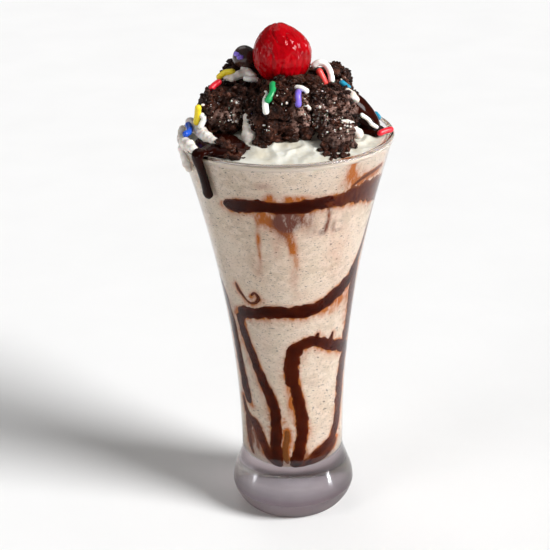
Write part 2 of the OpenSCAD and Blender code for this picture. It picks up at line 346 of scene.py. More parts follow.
curds = shades(drink_finish, grain(drink_finish, 3.2, detail=4, rough=0.55, stretch=(1, 1, 1.4)),
               [(0.45, (0, 0, 0)), (0.60, (1, 1, 1))])
body_colour = blended(drink_finish, curds, swirls, (0.94, 0.81, 0.68))
dust = shades(drink_finish, grain(drink_finish, 0.9, detail=3, rough=0.75, stretch=(1, 1, 1.8)),
              [(0.54, (0, 0, 0)), (0.74, (1, 1, 1))])
body_colour = blended(drink_finish, dust, body_colour, (0.33, 0.27, 0.21))
specks = shades(drink_finish, grain(drink_finish, 1.9, detail=2, rough=0.6, stretch=(1, 1, 2.4)),
                [(0.655, (0, 0, 0)), (0.71, (1, 1, 1))])
body_colour = blended(drink_finish, specks, body_colour, (0.16, 0.12, 0.10))


def sums(finish, operation, *values, clamp=True):
    """What an operation makes of values, each a number or the output of another node."""
    made = add(finish, "ShaderNodeMath", operation=operation, use_clamp=clamp)
    for value, socket in zip(values, made.inputs):
        if isinstance(value, float):
            socket.default_value = value
        else:
            join(finish, value, socket)
    return made.outputs[0]


# sauce has stained the drink in streaks, from caramel to a purplish brown
stain = add(drink_finish, "ShaderNodeAttribute", attribute_name="stain")
dusk = add(drink_finish, "ShaderNodeAttribute", attribute_name="dusk")
streak_grain = grain(drink_finish, 2.2, detail=4, rough=0.65, stretch=(1, 1, 0.35))
streaks = sums(drink_finish, "MULTIPLY_ADD", streak_grain, 2.4, -0.55, clamp=False)
stained = sums(drink_finish, "MULTIPLY", stain.outputs["Fac"], streaks)
stain_colour = blended(drink_finish, dusk.outputs["Fac"], (0.56, 0.17, 0.035), (0.20, 0.075, 0.055))
body_colour = blended(drink_finish, stained, body_colour, stain_colour)
join(drink_finish, body_colour, drink_shader.inputs["Base Color"])
drink = piece("milkshake_body", points, faces, [drink_finish])
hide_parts("milkshake")

# ---- the sauce on the inside of the glass ----

# Chocolate sauce, swirled round the inside of the glass before the drink was poured. It
# clings in bands with uneven edges, and where it ran thin it has stained the drink.


def between(a, b, c, d, t):
    """A place at a share of the way from b to c, on the smooth curve through four marks."""
    squared = (2 * a - 5 * b + 4 * c - d) * t * t
    return 0.5 * (2 * b + (c - a) * t + squared + (3 * b - a - 3 * c + d) * t ** 3)


def flowing(marks, gap):
    """A smooth run through marks, as rows of the same numbers, about gap millimetres apart."""
    marks = np.asarray(marks, float)
    ends = np.vstack([2 * marks[0] - marks[1], marks, 2 * marks[-1] - marks[-2]])
    rows = []
    for i in range(1, len(ends) - 2):
        a, b, c, d = ends[i - 1: i + 3]
        across = math.radians(c[0] - b[0]) * inner_r(b[1])
        count = max(2, int(math.hypot(across, c[1] - b[1]) / gap))
        rows += [between(a, b, c, d, t) for t in np.arange(count) / count]
    rows.append(marks[-1])
    return np.array(rows)


# each stroke: how brown and thin it is, from 0 to 1, then its marks as angle, height and width
strokes = [
    (0.0, [(-42, 143, 2.2), (-37, 143, 4.8), (-28, 143.6, 6), (-16, 144.2, 5), (-7, 143.8, 4.8),
           (4, 143.6, 5.4), (12, 144, 5.4), (20, 144.8, 5), (30, 144.8, 5.8)]),
    (0.3, [(22, 144.4, 4.6), (32, 144.8, 5.6), (45, 145, 7.6), (58, 144.5, 9.5), (75, 142, 10.5),
           (92, 140, 9), (110, 138, 6), (125, 137, 3)]),
    (0.5, [(40, 149, 1.2), (48, 151.5, 1.8), (59, 152.5, 1.6), (68, 153, 1.2)]),
    (0.05, [(-53, 92.5, 5), (-43, 94.5, 5.4), (-32, 95, 4.8), (-20, 96.5, 5.4), (-8, 97, 5.2),
            (9, 96.8, 5.8), (28, 98.4, 5.6), (43, 102, 5.8), (59, 106, 6), (66, 111, 5), (72, 118, 3),
            (76, 128, 2), (80, 138, 1.6)]),
    (0.1, [(-52, 93, 5), (-51, 85.5, 4.4), (-43, 75, 4.2), (-33, 64, 4), (-23, 55.5, 4.4),
           (-19, 46, 4.2), (-20, 36, 4.8), (-22, 22, 6)]),
    (0.1, [(84, 72, 5), (75, 73, 5), (60, 76, 5.4), (43, 78.5, 5), (25, 82.5, 4.8), (12, 81.5, 5.4),
           (3, 77.5, 5.6), (1, 68, 5.2), (6, 58.5, 4.6), (11, 49, 4.8), (12, 40.5, 4.4), (8, 32, 4.6),
           (4, 21, 6.5)]),
    (0.1, [(26, 83, 2), (28, 86, 1.4)]),
    (0.1, [(42, 79, 3), (46, 84.5, 0.8)]),
    (0.2, [(68, 112, 6), (69, 103, 6), (72, 94, 6), (73, 84, 6.4), (71, 76, 6.4)]),
    (0.2, [(78, 74, 6), (71, 66, 6.4), (69, 53, 6), (66, 41, 4.6), (55, 33, 5), (38, 29.5, 6),
           (16, 23, 6)]),
    (0.35, [(8, 22, 4), (22, 24.5, 6.5), (38, 26.5, 7), (52, 29, 5), (64, 32, 2.5)]),
    (0.1, [(-82, 104, 3), (-76, 99, 5), (-70, 87, 5.2), (-68, 73.5, 5), (-65, 64.5, 5), (-60, 54, 5),
           (-54, 50.5, 2.4)]),
    (0.25, [(-70, 52, 2), (-66, 46.5, 2.8), (-58, 43, 4), (-48, 41.5, 5), (-39, 35, 4.2), (-29, 27.5, 4),
            (-22, 21, 5)]),
    (0.35, [(-61, 44, 4.5), (-62, 37, 3.6), (-60, 30, 2.2), (-58, 26, 1.2)]),
    (0.35, [(-49, 107, 0.8), (-47, 104.5, 1.8), (-42, 101.6, 1.0), (-37, 99.6, 0.9), (-31, 100, 1.2),
            (-27, 102.4, 1.4), (-30, 104.6, 1.2), (-34, 103, 1.0)]),
    (0.8, [(-6, 41.5, 1.8), (-7, 37, 2.2), (-9, 32, 2.2), (-7, 25, 2)]),
    # round the back, where the swirls join up
    (0.1, [(108, 138, 5), (130, 132, 4.6), (158, 124, 5), (186, 116, 5.4), (214, 110, 5),
           (244, 106, 4.4), (270, 104.5, 3.6), (280, 104, 2)]),
    (0.1, [(82, 72, 5), (104, 68, 5), (130, 66, 4.6), (156, 62, 4.4), (178, 55, 4), (196, 45, 3.4),
           (206, 34, 3), (212, 24, 4)]),
    (0.2, [(206, 113, 3), (208, 104, 2.6), (209, 92, 2.8), (213, 78, 2.4), (212, 66, 1.6)]),
    (0.35, [(150, 127, 2), (151, 134, 1.6), (154, 142, 2), (158, 149, 1.2)]),
]

# a stroke is flat behind and rounded in front, where it reaches a little into the wall, and its
# edges are wavy. Its thinner edges and its thin stretches look browner.
SIDES = 9
RING = SIDES * 2 - 2
LOWEST_Z = 19.4
IN_WALL = 0.36
SWELL = 0.22
BACK = 0.05
WOBBLE = 0.34
RIPPLE = 0.2
sauce_points = []
sauce_faces = []
sauce_thin = []
sauce_route = []
for seed, (thin, marks) in enumerate(strokes):
    run = flowing(marks, 0.5)
    radius = np.array([inner_r(z) for z in run[:, 1]])
    flat = np.stack([np.radians(run[:, 0]) * radius, run[:, 1]], axis=1)
    ahead = np.gradient(flat, axis=0)
    ahead /= np.linalg.norm(ahead, axis=1)[:, None]
    length = np.concatenate([[0], np.cumsum(np.linalg.norm(np.diff(flat, axis=0), axis=1))])
    first = len(sauce_points)
    for i, (angle, z, width) in enumerate(run):
        cap = width * 0.5
        tip = min(1, (length[i] + 0.05) / cap, (length[-1] - length[i] + 0.05) / cap)
        sauce_route.append((angle, z, width * 0.5))
        for k in range(RING):
            # the front of the stroke goes across one way, and its flat back the other
            front = k < SIDES
            across = (1 - 2 * k / (SIDES - 1)) if front else (2 * (k - SIDES + 1) / (SIDES - 1) - 1)
            side = 5.0 if across > 0 else -5.0
            wobble = noise.noise(Vector((length[i] * 0.30, side, seed * 7.3)))
            ripple = noise.noise(Vector((length[i] * 1.1, side, seed * 3.1)))
            half = 0.5 * width * math.sqrt(1 - (1 - tip) ** 2) * (1 + WOBBLE * wobble + RIPPLE * ripple)
            u = flat[i] + np.array([-ahead[i][1], ahead[i][0]]) * half * across
            out = IN_WALL + SWELL * math.sqrt(max(0, 1 - across * across)) if front else BACK
            here_z = max(LOWEST_Z, u[1])
            bowl = max(0.0, (BOWL_Z - here_z) / BOWL_DEEP)
            r = inner_r(max(here_z, BOWL_Z)) * math.sqrt(max(0.02, 1 - bowl * bowl)) + out
            a = u[0] / radius[i]
            sauce_points.append((r * math.sin(a), -r * math.cos(a), here_z - out * bowl))
            sauce_thin.append(min(1, thin + 0.3 * abs(across) ** 4 + 0.12 * ripple))
    for i in range(len(run) - 1):
        for k in range(RING):
            a = first + i * RING + k
            b = first + i * RING + (k + 1) % RING
            sauce_faces.append((a, a + RING, b + RING, b))
    last = first + (len(run) - 1) * RING
    sauce_faces.append(tuple(range(first, first + RING)))
    sauce_faces.append(tuple(range(last, last + RING))[::-1])

wall_sauce_finish, wall_sauce_shader = new_finish("sauce_behind_glass", {
    "Roughness": 0.7, "IOR": 1.4, "Specular IOR Level": 0.0})
thinness = add(wall_sauce_finish, "ShaderNodeAttribute", attribute_name="thin")
wear = grain(wall_sauce_finish, 2.4, detail=4, rough=0.6)
worn = sums(wall_sauce_finish, "MULTIPLY_ADD", wear, 0.7, thinness.outputs["Fac"])
paint(wall_sauce_finish, wall_sauce_shader, worn, [
    (0.34, (0.030, 0.0020, 0.0004)), (0.62, (0.095, 0.013, 0.004)), (0.95, (0.20, 0.048, 0.012)),
    (1.0, (0.26, 0.085, 0.022))])


def keep_values(made, name, values):
    """Stores one number for each point of a piece, for its finish to read."""
    store = made.data.attributes.new(name, "FLOAT", "POINT")
    store.data.foreach_set("value", np.asarray(values, np.float32))


wall_sauce = piece("sauce_inside_glass", sauce_points, sauce_faces, [wall_sauce_finish])
keep_values(wall_sauce, "thin", sauce_thin)


def on_wall(angle, z):
    """A place on the inside of the glass. The angle is in degrees from the front, to the right."""
    a = math.radians(angle)
    r = inner_r(z)
    return (r * math.sin(a), -r * math.cos(a), z)


# places where thin sauce has washed down, as angle, height, reach across, reach up, strength
# and how purple it is
washes = [
    (-15, 138, 2.6, 4.5, 1.5, 0.0), (-11.5, 136.6, 2.2, 4, 0.9, 0.1), (-7.5, 137.5, 2, 4, 0.9, 0.3),
    (0, 137.5, 5, 4.6, 1.8, 1.0), (-3, 134, 2.6, 5, 1.2, 0.6), (1, 131, 2, 5, 1.4, 0.3),
    (3.4, 126.6, 1.9, 6, 1.4, 0.0), (5.4, 120, 2, 7, 0.7, 0.0), (4, 112, 2.4, 8, 0.35, 0.2),
    (-20.4, 129.4, 1.2, 3.6, 1.5, 0.0), (-21, 124, 0.9, 6, 0.9, 0.0), (-19.6, 138, 0.9, 5, 0.8, 0.1),
    (-24, 117, 3, 7, 0.4, 0.3), (-8, 127, 2, 6, 0.45, 0.0), (12, 138, 4, 4, 0.8, 0.8),
    (16, 133.6, 4, 4, 0.5, 0.8), (27, 139.4, 1.1, 4, 1.5, 0.8), (26, 134.8, 1.3, 3, 1.4, 0.9),
    (23.4, 132, 1.7, 2, 1.2, 1.0), (31, 134, 1.3, 3.4, 0.9, 0.8), (35, 131.4, 3, 1.1, 0.7, 0.8),
    (38, 122, 7, 14, 0.3, 0.1), (-9.6, 147.8, 2.4, 2.4, 1.6, 0.0), (5, 147.6, 5, 1.8, 1.8, 0.0),
    (-13, 153, 3, 1.6, 0.8, 0.6), (38, 157, 1.9, 6, 1.8, 0.0), (40, 153, 5, 5, 0.9, 0.0),
    (48, 150.4, 8, 2.6, 1.0, 0.05), (58, 151.4, 6, 1.8, 0.8, 0.1), (50, 98, 6, 3, 1.4, 0.0),
    (40, 94.6, 6, 2.6, 0.9, 0.0), (-1.5, 54, 1.2, 4, 0.9, 0.0), (-52, 33, 7, 8, 0.9, 0.8),
    (-46, 34, 2, 6, 0.7, 0.8), (-7, 36, 4, 12, 0.8, 0.0), (58, 36, 4, 14, 0.7, 0.1),
    (34, 27, 12, 4, 1.2, 0.6), (62, 96, 4, 8, 0.3, 0.1), (-2, 54, 3, 6, 0.4, 0.0),
    (-66, 80, 3, 20, 0.5, 0.8), (10, 104, 5, 3, 0.25, 0.3),
]

# the drink is stained for a few millimetres round each stroke, most of all below it
STAIN = 1.5
STAIN_ENDS = 12
STAIN_BELOW = 1.3
STAIN_ABOVE = 0.5
DEGREE_ROUND = 30 / 57.3
WASH_ENDS = 4
near = KDTree(len(sauce_route))
for i, (angle, z, half) in enumerate(sauce_route):
    near.insert(on_wall(angle, z), i)
near.balance()
stains = []
dusks = []
for vertex in drink.data.vertices:
    spot = vertex.co * 1000
    place, i, gap = near.find(spot)
    amount = 0
    if gap < STAIN_ENDS:
        reach = STAIN_BELOW if spot.z < place.z else STAIN_ABOVE
        amount = STAIN * math.exp(-max(0, gap - sauce_route[i][2]) / reach)
    purple = 0.0
    turn = math.degrees(math.atan2(spot.x, -spot.y))
    for angle, z, wide, tall, strength, shade in washes:
        far = ((turn - angle) * DEGREE_ROUND / wide) ** 2 + ((spot.z - z) / tall) ** 2
        if far < WASH_ENDS:
            wash = strength * math.exp(-1.6 * far)
            purple = max(purple, shade * min(1, 2 * wash))
            amount += wash
    stains.append(amount)
    dusks.append(purple)
keep_values(drink, "stain", stains)
keep_values(drink, "dusk", dusks)

# ---- the whipped cream ----

# Whipped cream from a can, spread up to the rim in soft folds. It lies lowest at the back
# right, where clear glass shows above it.
CREAM_EDGE = 1.2
CREAM_SLUMP = 1.1
SLUMP_SIDE = math.radians(50)
CREAM_BASE = 159.0
CREAM_DOME = 6.5
BASE_R = inner_r(CREAM_BASE)


def edge_z(a):
    """Height of the cream's edge on each side."""
    return GLASS_H - CREAM_EDGE - CREAM_SLUMP * max(0, math.cos(a - SLUMP_SIDE)) ** 2


def cream_r(a):
    """Radius of the cream's edge on each side, which follows the wall and then the lip."""
    z = edge_z(a)
    in_lip = BASE_R + (LIP_MID - LIP_R - BASE_R) * (z - CREAM_BASE) / (LIP_Z - CREAM_BASE)
    return (inner_r(z) if z < CREAM_BASE else in_lip) - 0.15


def cream_z(rho, a):
    """Height of the cream at a share of the way from the axis to the wall."""
    fold = math.sin(math.tau * rho + 3 * a) * math.sin(2 * a + math.radians(200 * rho))
    return edge_z(a) + CREAM_DOME * max(0, 1 - rho * rho) ** 1.3 + 0.7 * rho * (1 - rho ** 6) * fold


def lumps(spot, size, seed=0.0):
    """Noise from -1 to 1, whose lumps are about size across."""
    return noise.noise(Vector(spot) / size + Vector((seed, seed * 1.7, seed * 0.6)))


CREAM_RINGS = 110
CREAM_TURNS = 480
points = [(0, 0, cream_z(0, 0))]
for k in range(1, CREAM_RINGS + 1):
    rho = k / CREAM_RINGS
    for i in range(CREAM_TURNS):
        a = math.tau * i / CREAM_TURNS
        r = cream_r(a) * rho
        x, y = r * math.cos(a), r * math.sin(a)
        soft = 1 - rho ** 12
        ridge = 1 - abs(lumps((x, y, 3 * rho), 7, 2.0)) * 2.4
        swell = 0.75 * max(0, ridge) + 0.45 * lumps((x, y, 0), 4, 5.0) + 0.14 * lumps((x, y, 0), 1.3, 9.0)
        points.append((x, y, cream_z(rho, a) + soft * (swell - 0.25)))
for i in range(CREAM_TURNS):
    a = math.tau * i / CREAM_TURNS
    points.append(((BASE_R + 0.2) * math.cos(a), (BASE_R + 0.2) * math.sin(a), CREAM_BASE))
points.append((0, 0, CREAM_BASE))
faces = []
for i in range(CREAM_TURNS):
    j = (i + 1) % CREAM_TURNS
    faces.append((0, 1 + i, 1 + j))
    for k in range(CREAM_RINGS):
        low = 1 + k * CREAM_TURNS
        faces.append((low + i, low + CREAM_TURNS + i, low + CREAM_TURNS + j, low + j))
    low = 1 + CREAM_RINGS * CREAM_TURNS
    faces.append((low + i, len(points) - 1, low + j))


def relief(finish, shader, value, depth, strength=1.0):
    """Raises the surface by up to depth millimetres where value is high."""
    bump = add(finish, "ShaderNodeBump", {"Distance": depth / 1000, "Strength": strength})
    join(finish, value, bump.inputs["Height"])
    join(finish, bump.outputs["Normal"], shader.inputs["Normal"])
    return bump


cream_finish, cream_shader = new_finish("whipped_cream", {
    "Roughness": 0.42, "IOR": 1.4, "Subsurface Weight": 0.35, "Subsurface Scale": 0.002,
    "Subsurface Radius": (1.0, 0.85, 0.65), "Specular IOR Level": 0.35})
cream_colour = shades(cream_finish, grain(cream_finish, 9, detail=3),
                      [(0.35, (0.56, 0.52, 0.42)), (0.62, (0.72, 0.71, 0.64))])
mixed_in = add(cream_finish, "ShaderNodeAttribute", attribute_name="mixed_in")
cream_mix = blended(cream_finish, mixed_in.outputs["Fac"], cream_colour, (0.92, 0.80, 0.68))
join(cream_finish, cream_mix, cream_shader.inputs["Base Color"])
relief(cream_finish, cream_shader, grain(cream_finish, 0.7, detail=2), 0.12, 0.35)
cream = piece("cream_top", points, faces, [cream_finish])
BY_THE_WALL = 0.972
at_edge = [float(math.hypot(x, y) > BY_THE_WALL * cream_r(math.atan2(y, x))) for x, y, z in points]
keep_values(cream, "mixed_in", at_edge)
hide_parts("whipped_cream")

# the drink clings to the wall up to the cream's edge
for vertex in drink.data.vertices:
    out = 1000 * math.hypot(vertex.co.x, vertex.co.y)
    if 1000 * vertex.co.z > DRINK_Z - 0.1 and out > DRINK_R - 4:
        vertex.co.z = 0.001 * (edge_z(math.atan2(vertex.co.y, vertex.co.x)) - 0.1)

# ---- the broken brownie ----

# Moist chocolate brownie, torn by hand into chunks and piled on the cream. The torn sides
# are crumbly, and sauce and melted cream have wetted them.


def roughness_from(finish, shader, value, low, high):
    """Roughness that wanders between low and high with a value."""
    span = add(finish, "ShaderNodeMapRange", {"To Min": low, "To Max": high})
    join(finish, value, span.inputs["Value"])
    join(finish, span.outputs["Result"], shader.inputs["Roughness"])


brownie_finish, brownie_shader = new_finish("moist_brownie", {
    "IOR": 1.45, "Specular IOR Level": 0.16, "Coat Weight": 0.12, "Coat Roughness": 0.05})
crumb_tone = shades(brownie_finish, grain(brownie_finish, 3.2, detail=5, rough=0.65), [
    (0.36, (0.0050, 0.0011, 0.0005)), (0.53, (0.034, 0.0090, 0.0040)), (0.68, (0.13, 0.045, 0.026))])
creamy = add(brownie_finish, "ShaderNodeAttribute", attribute_name="creamy")
creamy_grain = shades(brownie_finish, grain(brownie_finish, 1.8, detail=4, rough=0.7),
                      [(0.42, (0, 0, 0)), (0.56, (1, 1, 1))])
creamy_share = sums(brownie_finish, "MULTIPLY", creamy.outputs["Fac"], creamy_grain)
brownie_colour = blended(brownie_finish, creamy_share, crumb_tone, (0.46, 0.28, 0.23))
join(brownie_finish, brownie_colour, brownie_shader.inputs["Base Color"])
crumb_grain = grain(brownie_finish, 1.0, detail=4, rough=0.7)
tiny_crumbs = relief(brownie_finish, brownie_shader, crumb_grain, 0.9)
join(brownie_finish, tiny_crumbs.outputs["Normal"], brownie_shader.inputs["Coat Normal"])
wet = shades(brownie_finish, grain(brownie_finish, 4.5, detail=3), [(0.42, (0, 0, 0)), (0.60, (1, 1, 1))])
roughness_from(brownie_finish, brownie_shader, wet, 0.14, 0.85)

# where melted cream has soaked in, as place and reach
creamy_spots = [
    ((10, -15, 175), 7), ((17, -17, 173), 8), ((20, -19, 168), 7), ((8, -18, 168), 5),
    ((-17, -12, 170), 7), ((-10, 3, 181), 4), ((-3, -11, 181), 3), ((24, -11, 177), 5),
    ((-28, -10, 172), 3), ((24, 2, 181), 4)]
CHUNKS = ["brownie_left", "brownie_front", "brownie_right", "brownie_top_right", "brownie_crumb",
          "brownie_back", "brownie_ledge", "brownie_middle"]


def remeshed(mesh, voxel, smoothing=0):
    """The same shape as a mesh, in an even fine mesh, and smoothed a number of times."""
    form = bpy.data.objects.new("form", mesh)
    scene.collection.objects.link(form)
    even = form.modifiers.new("even", "REMESH")
    even.mode = "VOXEL"
    even.voxel_size = voxel / 1000
    if smoothing:
        smooth = form.modifiers.new("smooth", "SMOOTH")
        smooth.factor = 0.5
        smooth.iterations = smoothing
    made = bpy.data.meshes.new_from_object(form.evaluated_get(bpy.context.evaluated_depsgraph_get()))
    bpy.data.objects.remove(form)
    bpy.data.meshes.remove(mesh)
    return made


def crumbled(spot, seed):
    """How far the torn surface stands out at a place, in millimetres."""
    place = Vector(spot)
    large = noise.voronoi(place / 4.6 + Vector((seed, 0, 0)))[0]
    cells = noise.voronoi(place / 2.2 + Vector((seed, 5, 0)))[0]
    crack = abs(lumps(spot, 8.5, seed + 4))
    torn = 1.9 * lumps(spot, 9, seed) + 1.3 * lumps(spot, 4.2, seed + 1) + 0.5 * lumps(spot, 1.6, seed + 2)
    grains = noise.voronoi(place / 1.25 + Vector((seed, 9, 0)))[0]
    return (torn + 1.3 * (0.5 - large[0]) + 1.0 * (0.5 - cells[0]) + 0.7 * (0.5 - grains[0])
            - 2.4 * max(0, 0.10 - crack) / 0.10 - 0.3)


heap_points = []
heap_faces = []
heap_faces_of = []


def add_to_heap(made, kind):
    """Keeps a piece's surface, in millimetres, so that small things can lie on it."""
    first = len(heap_points)
    heap_points.extend(v.co * 1000 for v in made.data.vertices)
    heap_faces.extend([first + i for i in p.vertices] for p in made.data.polygons)
    heap_faces_of.extend([kind] * len(made.data.polygons))


# the outer sides of two chunks are drawn in past a distance: which side, and how far out
drawn_in = {"brownie_left": (-1, 26), "brownie_top_right": (1, 20)}
KEPT = 0.65
for seed, name in enumerate(CHUNKS):
    mesh = remeshed(nodes[name].data.copy(), 0.42)
    spots = []
    soaked = []
    for vertex in mesh.vertices:
        spot = vertex.co * 1000
        torn = spot + vertex.normal * crumbled(spot, seed * 3.7)
        if name in drawn_in:
            side, limit = drawn_in[name]
            if torn.x * side > limit:
                torn.x = side * (limit + KEPT * (torn.x * side - limit))
        spots.append(torn)
        soaked.append(max([0] + [1.5 - (spot - Vector(s)).length / reach for s, reach in creamy_spots]))
    faces = [tuple(p.vertices) for p in mesh.polygons]
    chunk = piece(name + "_torn", spots, faces, [brownie_finish])
    bpy.data.meshes.remove(mesh)
    keep_values(chunk, "creamy", soaked)
    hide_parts(name)
    add_to_heap(chunk, "brownie")
add_to_heap(cream, "cream")

# ---- the chocolate sauce on top ----

# Glossy chocolate sauce, poured over the left side and running over the lip and down the
# outside, and a tongue of it on the right.
sauce_finish, sauce_shader = new_finish("glossy_chocolate_sauce", {
    "IOR": 1.48, "Coat Weight": 0.05, "Coat Roughness": 0.03, "Specular IOR Level": 0.05})
paint(sauce_finish, sauce_shader, grain(sauce_finish, 8, detail=2),
      [(0.35, (0.0090, 0.0008, 0.0003)), (0.70, (0.024, 0.0034, 0.0012))])
roughness_from(sauce_finish, sauce_shader, grain(sauce_finish, 5), 0.10, 0.24)
relief(sauce_finish, sauce_shader, grain(sauce_finish, 2.5, detail=2), 0.15, 0.5)


def pooled(mid_rho, mid_angle, half_rho, half_angle, seed):
    """A pool of sauce on the cream, placed and sized by shares of the radius and degrees."""
    rings, turns = 30, 120
    upper, lower = [], []
    for k in range(rings + 1):
        s = k / rings
        for i in range(turns if k else 1):
            b = math.tau * i / turns
            reach = s * (1 + 0.13 * noise.noise(Vector((1.6 * math.cos(b), 1.6 * math.sin(b), seed))))
            rho = mid_rho + half_rho * reach * math.cos(b)
            a = math.radians(mid_angle + half_angle * reach * math.sin(b))
            r = cream_r(a) * rho
            x, y = r * math.cos(a), r * math.sin(a)
            low = cream_z(min(rho, 1), a) + 0.2
            thick = 0.4 + 1.9 * max(0, 1 - s * s) ** 0.5 + 0.3 * s * (1 - s) * lumps((x, y, 0), 5, seed)
            upper.append((x, y, low + thick))
            lower.append((x, y, low - 0.6))
    faces = []
    count = len(upper)
    for i in range(turns):
        j = (i + 1) % turns
        faces += [(0, 1 + i, 1 + j), (count, count + 1 + j, count + 1 + i)]
        for k in range(rings - 1):
            p = 1 + k * turns
            faces.append((p + i, p + turns + i, p + turns + j, p + j))
            faces.append((count + p + i, count + p + j, count + p + turns + j, count + p + turns + i))
        p = 1 + (rings - 1) * turns
        faces.append((p + i, count + p + i, count + p + j, p + j))
    return upper + lower, faces


def tube_faces(first, rings, sides):
    """The faces of a closed tube, whose rings of points start at the first."""
    faces = []
    for i in range(rings - 1):
        for k in range(sides):
            p = first + i * sides + k
            q = first + i * sides + (k + 1) % sides
            faces.append((p, q, q + sides, p + sides))
    last = first + (rings - 1) * sides
    faces.append(tuple(range(first, first + sides))[::-1])
    faces.append(tuple(range(last, last + sides)))
    return faces


def beads(route):
    """A run of thick sauce. The route is rows of place, half width, half depth and side."""
    points = []
    sides = 16
    for i, (place, wide, deep, side) in enumerate(route):
        before = Vector(route[max(i - 1, 0)][0])
        after = Vector(route[min(i + 1, len(route) - 1)][0])
        ahead = (after - before).normalized()
        side = Vector(side)
        out = side.cross(ahead).normalized()
        for k in range(sides):
            b = math.tau * k / sides
            points.append(Vector(place) + side * wide * math.cos(b) + out * deep * math.sin(b))
    return points, tube_faces(0, len(route), sides)


def melted(name, parts, voxel, finish, smoothing=6):
    """One smooth piece, melted together from several closed forms."""
    mesh = bpy.data.meshes.new("form")
    points, faces = [], []
    for some_points, some_faces in parts:
        first = len(points)
        points += [tuple(p) for p in some_points]
        faces += [tuple(first + i for i in f) for f in some_faces]
    mesh.from_pydata((np.asarray(points, float) / 1000).tolist(), [], faces)
    even = remeshed(mesh, voxel, smoothing)
    spots = [v.co * 1000 for v in even.vertices]
    return piece(name, spots, [tuple(p.vertices) for p in even.polygons], [finish])


DRIP_SIDE = math.radians(220)
drip_out = Vector((math.cos(DRIP_SIDE), math.sin(DRIP_SIDE), 0))
drip_across = Vector((-math.sin(DRIP_SIDE), math.cos(DRIP_SIDE), 0))
DRIP_FROM_LIP = 2.1
DRIP_END_Z = 145.5
drip_line = [(cream_r(DRIP_SIDE) * 0.80, 163.4), (cream_r(DRIP_SIDE) * 0.9, 163.2)]
drip_line += [(LIP_MID + DRIP_FROM_LIP * math.cos(a), LIP_Z + DRIP_FROM_LIP * math.sin(a))
              for a in (2.3, 1.8, 1.3, 0.8, 0.3)]
down_z = np.arange(160, DRIP_END_Z, -1.0)
drip_line += [(outer_r(z) + 1.0, z) for z in down_z]
widths = [3.6, 3.5, 3.5, 3.4, 3.4, 3.3, 3.2]
widths += [3.0 - 0.4 * math.sin(math.pi * i / len(down_z)) for i in range(len(down_z))]
drip_route = []
for (r, z), wide in zip(drip_line, widths):
    sway = 0.5 * math.sin((GLASS_H - z) / 5) if z < 158 else 0
    drip_route.append((drip_out * r + drip_across * sway + Vector((0, 0, z)), wide, 1.2, drip_across))
end = drip_route[-1][0]
drip_route[-1] = (end, 3.0, 1.4, drip_across)
drip_route.append((end + Vector((0, 0, -1.0)), 2.3, 1.1, drip_across))
drip_route.append((end + Vector((0, 0, -1.9)), 1.2, 0.7, drip_across))
left_parts = [pooled(0.80, 217, 0.185, 24, 1.0), beads(drip_route)]
left_pool = melted("sauce_pool_and_drip", left_parts, 0.36, sauce_finish)
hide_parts("sauce_left")
add_to_heap(left_pool, "sauce")

tongue_side = Vector((0.2, 0.75, 0.63)).normalized()
tongue_route = [((19.6, -2.5, 177.8), 2.4, 1.4), ((22.2, -2.8, 176.6), 3.8, 2.4),
                ((25.4, -3, 173.8), 4.6, 3.2), ((28.6, -3, 170.6), 4.8, 3.4),
                ((31.6, -3, 167.4), 4.4, 3.0), ((34, -3, 164.8), 3.6, 2.0), ((35.6, -3, 163), 2.2, 1.0)]
tongue = [(place, wide, deep, tongue_side) for place, wide, deep in tongue_route]
right_parts = [pooled(0.80, 2, 0.17, 18, 4.0), beads(tongue)]
right_pool = melted("sauce_tongue", right_parts, 0.36, sauce_finish, 14)
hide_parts("sauce_right")
add_to_heap(right_pool, "sauce")

# ---- the cherry ----

# A glossy cocktail cherry, bright red all through, with shallow upright wrinkles and a
# small dimple in its right shoulder.
cherry_finish, cherry_shader = new_finish("cocktail_cherry", {
    "IOR": 1.45, "Coat Weight": 0.12, "Coat Roughness": 0.02, "Specular IOR Level": 0.08,
    "Subsurface Weight": 0.25, "Subsurface Scale": 0.003, "Subsurface Radius": (1.0, 0.10, 0.08)})
paint(cherry_finish, cherry_shader, grain(cherry_finish, 7, detail=3),
      [(0.3, (0.22, 0.0003, 0.0015)), (0.7, (0.43, 0.0008, 0.005))])
roughness_from(cherry_finish, cherry_shader, grain(cherry_finish, 4), 0.06, 0.14)
wrinkle_grain = grain(cherry_finish, 2.4, detail=1.5, stretch=(1, 1, 0.5))
cherry_wrinkles = relief(cherry_finish, cherry_shader, wrinkle_grain, 0.9, 0.7)
join(cherry_finish, cherry_wrinkles.outputs["Normal"], cherry_shader.inputs["Coat Normal"])

CHERRY_R = 11.2
CHERRY_AT = Vector((-0.6, 0, 191.8))
cherry_turn = Matrix.Rotation(math.radians(-8), 3, "Y")


def ball_form(rows, top, steps):
    """A ball of radius 1, in rows of points from -top to top radians, closed at both ends."""
    side_line = [(math.cos(a), math.sin(a)) for a in np.linspace(-top, top, rows)]
    return turned([(0, -1)] + side_line + [(0, 1)], steps)


